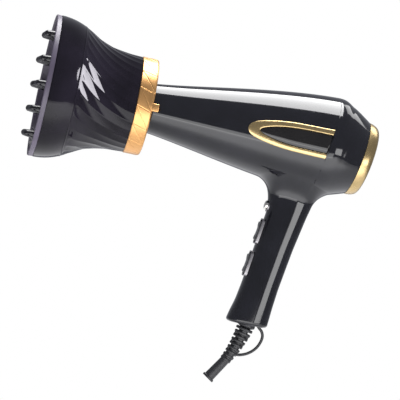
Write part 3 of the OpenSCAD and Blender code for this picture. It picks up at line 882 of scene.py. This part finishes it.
def build_outlet_grille():
    inner = OUTLET_R - SKIN
    parts = Parts().add(*turned(hoop(1, 6, inner - 1.4, inner - 0.1, 0.3), 96))
    for r in (7, 13.4):
        parts.add(*turned(hoop(1, 4, r - 0.6, r + 0.6, 0.35), 96))
    for k in range(6):
        parts.add(*block((1.5, -0.6, 7), (3.5, 0.6, inner - 1), 0.25,
                         spinner(k * math.pi / 3), 2))
    parts.piece("outlet_grille_guard", "outlet_grille")


# ---------------- diffuser

CUP = np.vstack([bezier((1, 46.2), (-16, 47), (-30, 47.6), (-44, 55.6), 60),
                 bezier((-44, 55.6), (-53, 60.6), (-62, 67.4), (-80, RIM_R), 50)[1:],
                 [(-84, RIM_R - 0.1)]])[::-1]
CUP_FRONT_X = -81.9
RIDGE_X = -57.0


def cup_radius(x):
    return np.interp(x, CUP[:, 0], CUP[:, 1])


def flute_slant(x):
    """Angle of a flute to the cup's axis, in radians."""
    return np.interp(x, [RIDGE_X, -40, -15, 1], np.radians([47, 36, 23, 8]))


def build_cup():
    """Glossy cup: flutes with crisp edges wind from the collar to a fine ridge below the rim."""
    per = 14
    count = FLUTES * per
    share = (np.arange(count) % per) / per
    x = np.concatenate([np.linspace(1, RIDGE_X + 0.9, 76),
                        RIDGE_X + np.array([0.6, 0.35, 0, -0.35, -0.7]),
                        np.linspace(RIDGE_X - 1.4, CUP_FRONT_X + 0.5, 26)])
    steps = np.abs(np.diff(x))
    turn = np.tan(flute_slant(x[1:])) * steps / cup_radius(x[1:])
    twist = np.concatenate([[0], np.cumsum(turn * (x[1:] > RIDGE_X))])
    valley = 1 - (2 * share - 1) ** 2
    tip = RIDGE_X + 1.0 + 5.5 * (1 - valley) ** 2
    fade = smoothstep(0, 3.2, x[:, None] - tip[None, :])
    depth = 0.5 * fade * valley[None, :] * np.interp(x, [-50, -20, 1], [1.1, 1, 0.8])[:, None]
    ridge = 0.35 * np.exp(-((x - RIDGE_X) / 0.38) ** 2)
    rows = list(zip(x, (cup_radius(x) + ridge)[:, None] - depth, -twist))
    rim = rounded([(CUP_FRONT_X, RIM_R - 0.2), (CUP_FRONT_X, RIM_R - 2)], 0.1, closed=False)
    rows += [(p[0], p[1], -twist[-1]) for p in rim]
    inner = [(t, cup_radius(t) - 2) for t in np.linspace(-80, -2, 30)]
    tail = [(-1, 41.6), (15.8, 41.6), (16, 41.8), (16, 43.3), (15.7, 43.6), (1, 43.6)]
    fading = np.linspace(-twist[-1], 0, len(inner))
    rows += [(p[0], p[1], back) for p, back in zip(inner, fading)]
    rows += [(p[0], p[1], 0.0) for p in tail]
    make_piece("diffuser_cup_fluted", *ringed(rows, count), "diffuser_cup", crease=28)


def build_socket():
    """Ring in the cup's neck that fits over the sleeve."""
    profile = [(-5, SLEEVE_R + 0.5), (-4.5, SLEEVE_R + 0.06), (15.4, SLEEVE_R + 0.06), (16, 29),
               (16, 41.54), (13.6, 41.54), (13.6, 30.4), (-5, 30.4)]
    make_piece("diffuser_socket_ring", *turned(rounded(profile, 0.3), 160), "diffuser_socket")


def build_collar():
    """Gold band engraved with steep lines, and a shallow diagonal between each two."""
    repeats = 16
    count = repeats * 56
    turn = np.arange(count) / count * repeats
    x_low, x_high = 1.1, 16.8
    x = np.concatenate([[x_low, x_low + 0.25], np.linspace(x_low + 0.6, x_high - 1.2,
                                                             40)])
    share = (x - x_low) / (x_high - x_low)
    pitch = 2 * math.pi * COLLAR_R / repeats

    def groove(offset_mm, slope):
        across = np.abs(offset_mm) / math.sqrt(1 + slope ** 2)
        return 0.28 * np.clip(1 - across / 0.42, 0, 1)
    phase = turn[None, :] - 0.28 * share[:, None]
    steep = (phase - np.round(phase)) * pitch
    carve = groove(steep, 0.28 * pitch / (x_high - x_low))
    local = phase - np.floor(phase)
    diagonal = (local - share[:, None]) * pitch
    carve = np.maximum(carve, groove(diagonal, pitch / (x_high - x_low)))
    tilt = 0.22 * np.where(local > share[:, None], (local - 0.5), -(local - 0.5))
    edge = np.interp(x, [x_low, x_low + 0.6, x_high - 1.6, x_high], [0.6, 0, 0, 0.8])
    radius = COLLAR_R - 0.1 + tilt - carve - edge[:, None]
    rows = list(zip(x, radius))
    rows += [(16.1, radius[-1] - 0.35), (16.6, 45.7), (16.8, 45.1), (16.7, 44.3), (16.2, 43.75),
             (1.1, 43.75)]
    parts = Parts().add(*ringed([(*row, 0) for row in rows], count))

    def wrap(p):
        lean = p[:, 2] / 46
        return np.stack([p[:, 0], -p[:, 1] * np.cos(lean), p[:, 1] * np.sin(lean)], -1)
    parts.add(*block((15.4, 44.2, -3.2), (22.6, 46.4, 4.4), 1.05, wrap, 5))
    parts.piece("diffuser_collar_band", "diffuser_collar", crease=25)


def plate_front(r):
    """X of the bowl's perforated plate at a distance from the axis."""
    return PLATE_X + (PLATE_RIM_X - PLATE_X) * np.maximum(0, r - 6) / (BOWL_R - 6)


def petal(r0, r1, width, lean, turn):
    """Curved leaf of the rosette, from one radius to another."""
    t = np.linspace(0, 1, 9)
    r = r0 + (r1 - r0) * t
    a = math.radians(lean) * t + math.radians(turn)
    w = width * np.sin(np.pi * t ** 1.4)
    c, s = np.cos(a), np.sin(a)
    left, right = (np.column_stack([r * c - v * s, r * s + v * c]) for v in (w, -w))
    return np.vstack([left, right[-2:0:-1]])[::-1]


def clipped(polygon, point, normal):
    """Part of a convex polygon on the inner side of a line."""
    out = []
    gaps = (polygon - point) @ normal
    for i in range(len(polygon)):
        j = (i + 1) % len(polygon)
        if gaps[i] <= 0:
            out.append(polygon[i])
        if gaps[i] * gaps[j] < 0:
            out.append(polygon[i] + (polygon[j] - polygon[i]) * gaps[i] / (gaps[i] - gaps[j]))
    return np.array(out)


def area(polygon):
    x, y = polygon[:, 0], polygon[:, 1]
    return 0.5 * (x @ np.roll(y, -1) - y @ np.roll(x, -1))


def lattice_cells():
    """Rhombic holes in six sectors, cut short by the sectors' edges and the outer circle."""
    long, short, rib = 16.0, 8.4, 1.05
    shrink = 1 - rib / (long * short / 4 / math.hypot(long / 2, short / 2))
    shape = np.array([(long / 2, 0), (0, short / 2), (-long / 2, 0), (0, -short / 2)]) * shrink
    cells = []
    for i, j in itertools.product(range(2, 9), range(-8, 9)):
        spot = np.array([i * long / 2, j * short / 2])
        if (i + j) % 2:
            continue
        cell = shape + spot
        for s in (-1, 1):
            edge = np.array([-0.5, s * math.sqrt(3) / 2])
            cell = clipped(cell, edge * -rib, edge) if len(cell) else cell
        for lean in np.radians(np.arange(-28, 29, 8)):
            ray = np.array([math.cos(lean), math.sin(lean)])
            cell = clipped(cell, ray * 57.5, ray) if len(cell) else cell
            cell = clipped(cell, ray * 26.5, -ray) if len(cell) and abs(lean) < 0.1 else cell
        if len(cell) < 3 or abs(area(cell)) < 5 or np.linalg.norm(cell.mean(0)) < 28:
            continue
        for k in range(6):
            turn = k * math.pi / 3
            c, s = math.cos(turn), math.sin(turn)
            cells.append(cell @ np.array([[c, s], [-s, c]]))
    return cells


def grown(polygon, by):
    """Polygon moved outwards by a distance."""
    p = polygon if area(polygon) > 0 else polygon[::-1]
    before = p - np.roll(p, 1, axis=0)
    after = np.roll(p, -1, axis=0) - p
    before /= np.linalg.norm(before, axis=1, keepdims=True)
    after /= np.linalg.norm(after, axis=1, keepdims=True)
    m = before + after
    m /= np.linalg.norm(m, axis=1, keepdims=True)
    normal = np.column_stack([m[:, 1], -m[:, 0]])
    cosine = np.maximum((m * before).sum(1), 0.45)
    return p + normal * (by / cosine)[:, None]


def build_plate():
    """Perforated plate of the bowl, every hole with a softened edge."""
    holes = lattice_cells()
    for k in range(8):
        holes.append(petal(5.2, 13, 1.75, 12, 45 * k))
        holes.append(petal(11, 18.6, 1.5, 14, 45 * k + 22.5))
        holes.append(petal(14.4, 22.4, 1.9, 14, 45 * k))
    holes.append(circle(3, 20, 0))
    rim = circle(BOWL_R + 0.4, 180, 0)
    loose = [circle(r, 72, 0) for r in (24.5, 59.5)]
    levels = ((0.38, 0.0), (0.1, 0.12), (0.0, 0.4), (0.0, 1.7), (0.2, 2.0))

    def sheet(by):
        """Triangles of the plate between its rim and holes grown by a distance."""
        flat = [rim] + [grown(h, by) for h in holes]
        points = np.vstack(flat + loose)
        faces, start = [], 0
        for outline in flat:
            faces.append(list(range(start, start + len(outline))))
            start += len(outline)
        verts, _, triangles, sources, _, origin = delaunay_2d_cdt(
            [Vector(p) for p in points], [], faces, 0, 1e-5)
        kept = [t for t, source in zip(triangles, origin) if list(source) == [0]]
        where = {}
        for index, source in enumerate(sources):
            for s in source:
                where[s] = index
        return np.array([tuple(v) for v in verts]), kept, where, faces[1:]

    def lifted(flat, drop):
        r = np.linalg.norm(flat, axis=1)
        return np.column_stack([plate_front(r) + drop, flat[:, 0], flat[:, 1]])
    top, top_faces, top_of, loops = sheet(levels[0][0])
    low, low_faces, low_of, _ = sheet(levels[-1][0])
    points = [lifted(top, levels[0][1]), lifted(low, levels[-1][1])]
    faces = [list(t) for t in top_faces] + [[i + len(top) for i in t][::-1] for t in low_faces]
    start = len(top) + len(low)
    for loop, hole in zip(loops, holes):
        rings = [[top_of[i] for i in loop]]
        for by, drop in levels[1:-1]:
            ring = grown(hole, by)
            points.append(lifted(ring, drop))
            rings.append(list(range(start, start + len(ring))))
            start += len(ring)
        rings.append([low_of[i] + len(top) for i in loop])
        for a, b in zip(rings, rings[1:]):
            faces += band(a, b)
    edge = range(len(rim))
    faces += band([top_of[k] for k in edge], [low_of[k] + len(top) for k in edge])
    make_piece("diffuser_bowl_plate", np.vstack(points), faces, "diffuser_bowl", crease=38,
               extra=True)


def build_bowl():
    """Rim and slotted wall of the bowl, and the plate behind them."""
    rim = [(CUP_FRONT_X - 0.2, 65.6), (CUP_FRONT_X - 0.2, RIM_R - 0.35), (-86.3, RIM_R - 0.05),
           (-87, RIM_R - 0.6), (-87, 67.0), (-85.9, 66.6), (-85.9, 65.9), (-86.9, 65.6),
           (-86.9, 64.6), (-85.2, 64.3), (-83, 64.2)]
    radii = [0.1, 0.35, 0.5, 0.5, 0.4, 0.25, 0.25, 0.45, 0.5, 0.4, 0.1]
    make_piece("diffuser_bowl_rim", *turned(rounded(rim, radii), 256), "diffuser_bowl")
    wall_line = [(-84.4, 64.25), (-77.2, 63.1), (-74.2, 62.6), (-72.6, 62.1), (-71.9, 61.4)]
    x = np.concatenate([np.linspace(-84.4, -77.4, 8), [-77, -74.4], [-73.6, -72.9, -72.3, -71.8]])
    r = np.interp(x, *np.transpose(wall_line))
    angle = around(360)
    points = lathed(x[:, None], r[:, None], angle).reshape(-1, 3)
    kept = []
    for face in grid_faces(len(x), len(angle)):
        centre = points[face].mean(0)
        turn = math.degrees(math.atan2(centre[2], centre[1])) % 60 - 30
        if not (-77 < centre[0] < -74.4 and abs(turn) < 5):
            kept.append(face[::-1])
    inward = lathed(np.gradient(r, x)[:, None], -1, angle).reshape(-1, 3)
    inward /= np.linalg.norm(inward, axis=1, keepdims=True)
    wall, faces, loops = thickened(points, kept, inward, 1.6)
    make_piece("diffuser_bowl_wall", wall, faces, "diffuser_bowl", normals=loops, extra=True)
    build_plate()


def build_prongs():
    """Tapered fingers, each with a long oval hollow down one side and an air hole at its foot."""
    count, rows = ((48, 72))
    angle = around(count)
    facing = math.radians(200)
    parts = Parts()
    rings = ((1, 0), (math.sqrt(3), 0.5), (2, 0))
    for spot in np.vstack([circle(PRONG_PITCH * r, 6, first) for r, first in rings]):
        foot = plate_front(np.linalg.norm(spot)) + 0.6
        length = foot - PRONG_TIP_X
        along = np.concatenate([[0], np.linspace(0.02, 1 - PRONG_TIP_R / length, rows - 12),
                                1 - PRONG_TIP_R / length
                                * (1 - np.sin(np.linspace(0.12, np.pi / 2, 12)))])
        from_tip = (1 - along) * length
        straight = PRONG_TIP_R + (PRONG_FOOT_R - PRONG_TIP_R) * (from_tip - PRONG_TIP_R) \
            / (length - PRONG_TIP_R)
        cap = np.sqrt(np.maximum(PRONG_TIP_R ** 2 - np.maximum(PRONG_TIP_R - from_tip, 0) ** 2, 0))
        radius = np.where(from_tip < PRONG_TIP_R, cap, straight)
        radius = radius + 1.5 * np.exp(-along * length / 0.9)
        across = (angle - facing + np.pi) % (2 * np.pi) - np.pi
        wide = across[None, :] * radius[:, None]
        middle, half = 0.52 * length, 0.36 * length
        run = np.clip((from_tip - middle) / half, -1, 1)[:, None]
        edge = 2.0 * np.sqrt(1 - run ** 2)
        hollow = 0.75 * smoothstep(0, 0.75, edge - np.abs(wide))
        hole_at = middle + half - 3.4
        ring = np.hypot(wide, (from_tip - hole_at)[:, None])
        hollow = hollow - 0.45 * np.exp(-((ring - 1.25) / 0.35) ** 2)
        hollow = hollow + 0.9 * smoothstep(0.95, 0.45, ring)
        hollow[from_tip < 0.5] = 0
        r = radius[:, None] - hollow
        points = lathed((foot - along * length)[:, None], r, angle) + (0, *spot)
        parts.add(points, capped(len(along), count))
    parts.piece("diffuser_prong_set", "diffuser_prongs", crease=50)


def build_sleeve():
    """Silicone sleeve with three fins that grip the nozzle."""
    profile = rounded([(-5, 26.2), (-5, SLEEVE_R), (15.4, SLEEVE_R), (15.4, 26.2)], 0.4)
    parts = Parts().add(*turned(profile))
    for x in (1, 7, 13):
        fin = barrel_radius(x + 1.2) + 0.35
        parts.add(*turned(hoop(x, x + 1.2, fin, 26.9, 0.25)))
    parts.piece("grip_sleeve_rubber", "grip_sleeve")


# ---------------- build

build_shells()
build_rear_shell()
build_trims()
build_switches()
build_guard()
build_cover()
build_outlet_grille()
build_sleeve()
build_cup()
build_socket()
build_collar()
build_bowl()
build_prongs()
for node, obj in nodes.items():          # what is left of the CAD nodes
    if not obj.hide_render:
        obj.data.materials.clear()
        obj.data.materials.append(materials[slot_of[node]])


# ---------------- camera, light and floor

def view_axes(azimuth, elevation, roll):
    """Right, up and back directions of a view, its angles in degrees."""
    a, e, t = (math.radians(v) for v in (azimuth, elevation, roll))
    back = np.array([math.sin(a) * math.cos(e), -math.cos(a) * math.cos(e), math.sin(e)])
    right = np.array([math.cos(a), math.sin(a), 0])
    up = np.cross(back, right)
    return (right * math.cos(t) + up * math.sin(t), up * math.cos(t) - right * math.sin(t), back)


def add_camera():
    """Side view that keeps the whole dryer in the middle of the frame."""
    right, up, back = view_axes(-7, 1, 12.1)
    seen = np.vstack([np.array([v.co for v in nodes[n].data.vertices])
                      for n in ("body_shell_right", "rear_shell", "cover_ring", "cord_guard",
                                "hanging_loop", "diffuser_cup", "diffuser_bowl",
                                "diffuser_prongs")])
    low = np.array([(seen @ right).min(), (seen @ up).min()])
    high = np.array([(seen @ right).max(), (seen @ up).max()])
    middle = (low + high) / 2
    distance, fill = 2.2, 0.92
    data = bpy.data.cameras.new("camera")
    data.sensor_width = 36
    data.lens = data.sensor_width * distance * fill / (high - low).max()
    camera = bpy.data.objects.new("camera", data)
    depth = (seen @ back).mean()
    at = right * middle[0] + up * middle[1] + back * (depth + distance)
    matrix = np.eye(4)
    matrix[:3, 0], matrix[:3, 1], matrix[:3, 2], matrix[:3, 3] = right, up, back, at
    camera.matrix_world = Matrix(matrix.tolist())
    bpy.context.scene.collection.objects.link(camera)
    bpy.context.scene.camera = camera


def softbox(name, spot, aim, size, strength, colour=(1, 1, 1), lit=(), shape="RECTANGLE"):
    """Flat light that aims at a spot, and lights everything or only what lit holds."""
    data = bpy.data.lights.new(name, "AREA")
    data.shape = shape
    data.size, data.size_y = size
    data.energy = strength * size[0] * size[1] * math.pi
    data.color = colour
    light = bpy.data.objects.new(name, data)
    light.location = spot
    direction = Vector(aim) - Vector(spot)
    light.rotation_euler = direction.to_track_quat("-Z", "Y").to_euler()
    bpy.context.scene.collection.objects.link(light)
    if lit:
        group = bpy.data.collections.new(name + "_lit")
        for obj in lit:
            group.objects.link(obj)
        light.light_linking.receiver_collection = group


def add_world():
    """White to the camera, and a dim studio to everything else."""
    world = bpy.data.worlds.new("studio")
    bpy.context.scene.world = world
    world.use_nodes = True
    tree = world.node_tree
    tree.nodes.clear()
    rays = add_node(tree, "LightPath")
    mix = add_node(tree, "MixShader", Fac=rays.outputs["Is Camera Ray"])
    dim = add_node(tree, "Background", Color=(0.32, 0.33, 0.36, 1))
    white = add_node(tree, "Background", Color=(1, 1, 1, 1))
    tree.links.new(dim.outputs["Background"], mix.inputs[1])
    tree.links.new(white.outputs["Background"], mix.inputs[2])
    add_node(tree, "OutputWorld", Surface=mix.outputs["Shader"])


def add_floor():
    material = bpy.data.materials.new("pale_floor")
    material.use_nodes = True
    tree = material.node_tree
    feed(tree, tree.nodes["Principled BSDF"], Base_Color=(0.86, 0.86, 0.87, 1), Roughness=0.8)
    mesh = bpy.data.meshes.new("floor")
    z = cad_box[0].z - 0.2
    mesh.from_pydata([(-0.9, -1.1, z), (1.1, -1.1, z), (1.1, 0.9, z), (-0.9, 0.9, z)], [],
                     [(0, 1, 2, 3)])
    mesh.materials.append(material)
    floor = bpy.data.objects.new("floor", mesh)
    bpy.context.scene.collection.objects.link(floor)


add_camera()
add_world()
add_floor()
# The cup has a card of its own, so that its flutes glint and the rest of it stays dark
cup = bpy.data.objects["diffuser_cup_fluted"]
rest = [obj for obj in bpy.context.scene.objects if obj.type == "MESH" and obj != cup]
softbox("overhead", (0.1, 0.3, 1.0), (0.1, 0.3, 0), (0.7, 1.0), 12, lit=rest)
softbox("overhead_rear", (0.8, 0.55, 0.95), (0.2, 0.1, 0), (0.6, 0.5), 3.5, lit=rest)
softbox("right_card", (0.87, -1.09, -0.19), (0.16, 0, -0.15), (0.66, 0.3), 6, lit=rest)
softbox("low_front", (-0.05, -0.95, -0.35), (0.05, 0, 0), (1.0, 0.2), 3.5, lit=rest)
softbox("cup_glint", (1.1, -0.5, 0.45), (-0.04, 0, 0), (0.8, 0.8), 27, (0.95, 0.92, 1),
        [cup], "ELLIPSE")
softbox("floor_wash", (0.1, -0.7, -0.32), (0.1, -0.7, -0.5), (1.5, 0.7), 3)
bpy.context.scene.view_settings.view_transform = "Standard"
